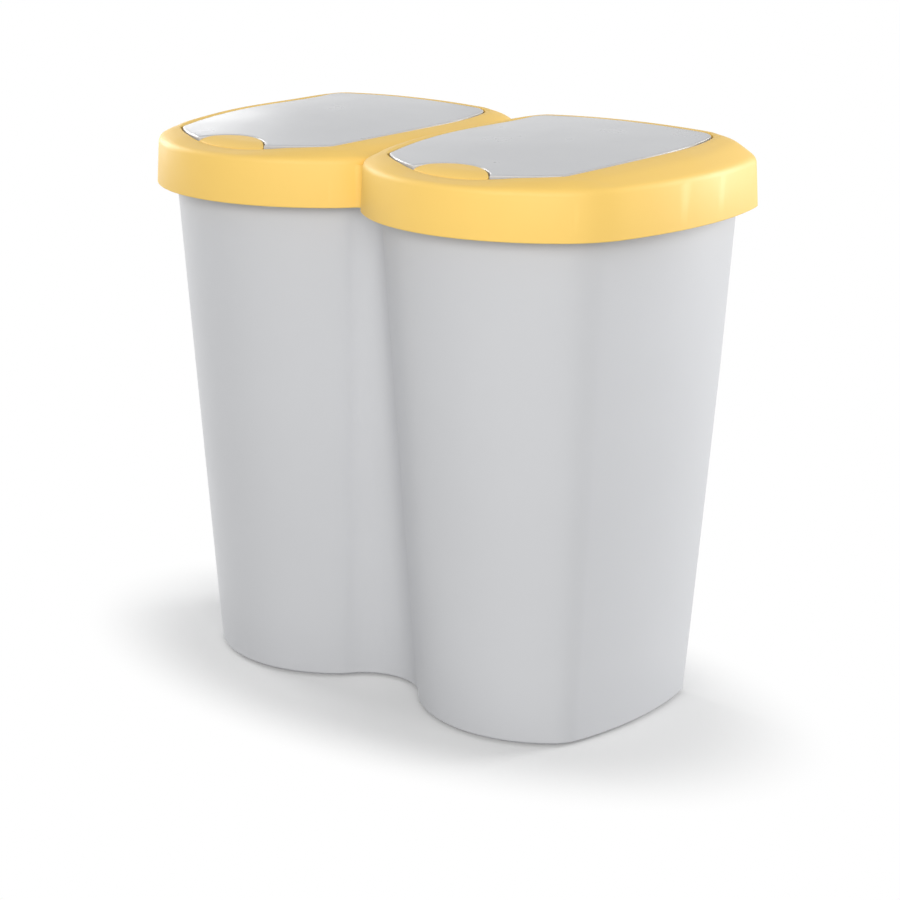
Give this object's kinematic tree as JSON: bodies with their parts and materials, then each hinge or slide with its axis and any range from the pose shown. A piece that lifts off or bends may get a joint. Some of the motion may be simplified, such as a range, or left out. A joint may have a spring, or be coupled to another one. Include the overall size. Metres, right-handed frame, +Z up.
{
  "type": "double recycling bin",
  "caption": "Double recycling bin: one tapered plastic body with two chambers, a lift-off lid frame, and a push button that lets go a domed hinged flap over each chamber.",
  "frame": {"origin": "on the floor, under the middle of the plan", "axes": "+X along the row of the two chambers, +Y from the push buttons to the hinges, +Z up"},
  "size_m": [0.5438, 0.2994, 0.5112],
  "materials": {
    "body_plastic": "satin light grey polypropylene",
    "flap_plastic": "smooth light grey polypropylene",
    "frame_plastic": "satin warm yellow polypropylene",
    "inner_plastic": "mid grey moulded plastic",
    "steel": "plain steel wire and pin"
  },
  "bodies": {
    "bin": {"bin_body": "body_plastic"},
    "lid": {"lid_frame": "frame_plastic", "latch_carrier_left": "inner_plastic", "hinge_pin_left_1": "steel", "hinge_pin_left_2": "steel", "flap_spring_left": "steel", "button_spring_left_1": "steel", "button_spring_left_2": "steel", "latch_carrier_right": "inner_plastic", "hinge_pin_right_1": "steel", "hinge_pin_right_2": "steel", "flap_spring_right": "steel", "button_spring_right_1": "steel", "button_spring_right_2": "steel"},
    "flap_left": {"flap_left": "flap_plastic"},
    "flap_right": {"flap_right": "flap_plastic"},
    "button_left": {"push_button_left": "frame_plastic"},
    "button_right": {"push_button_right": "frame_plastic"}
  },
  "joints": [
    {"name": "lid_lift", "type": "slide", "parent": "bin", "child": "lid", "axis": [0, 0, 1], "range_m": [0, 0.12]},
    {"name": "flap_left_open", "type": "hinge", "parent": "lid", "child": "flap_left", "pos_m": [-0.125, 0.09, 0.497], "axis": [-1, 0, 0], "range_deg": [0, 85]},
    {"name": "button_left_press", "type": "slide", "parent": "lid", "child": "button_left", "axis": [0, 0, -1], "range_m": [0, 0.0035], "stiffness_N_per_m": 400, "springref_m": -0.003, "deforming": ["button_spring_left_1", "button_spring_left_2"]},
    {"name": "flap_right_open", "type": "hinge", "parent": "lid", "child": "flap_right", "pos_m": [0.125, 0.09, 0.497], "axis": [-1, 0, 0], "range_deg": [0, 85]},
    {"name": "button_right_press", "type": "slide", "parent": "lid", "child": "button_right", "axis": [0, 0, -1], "range_m": [0, 0.0035], "stiffness_N_per_m": 400, "springref_m": -0.003, "deforming": ["button_spring_right_1", "button_spring_right_2"]}
  ]
}
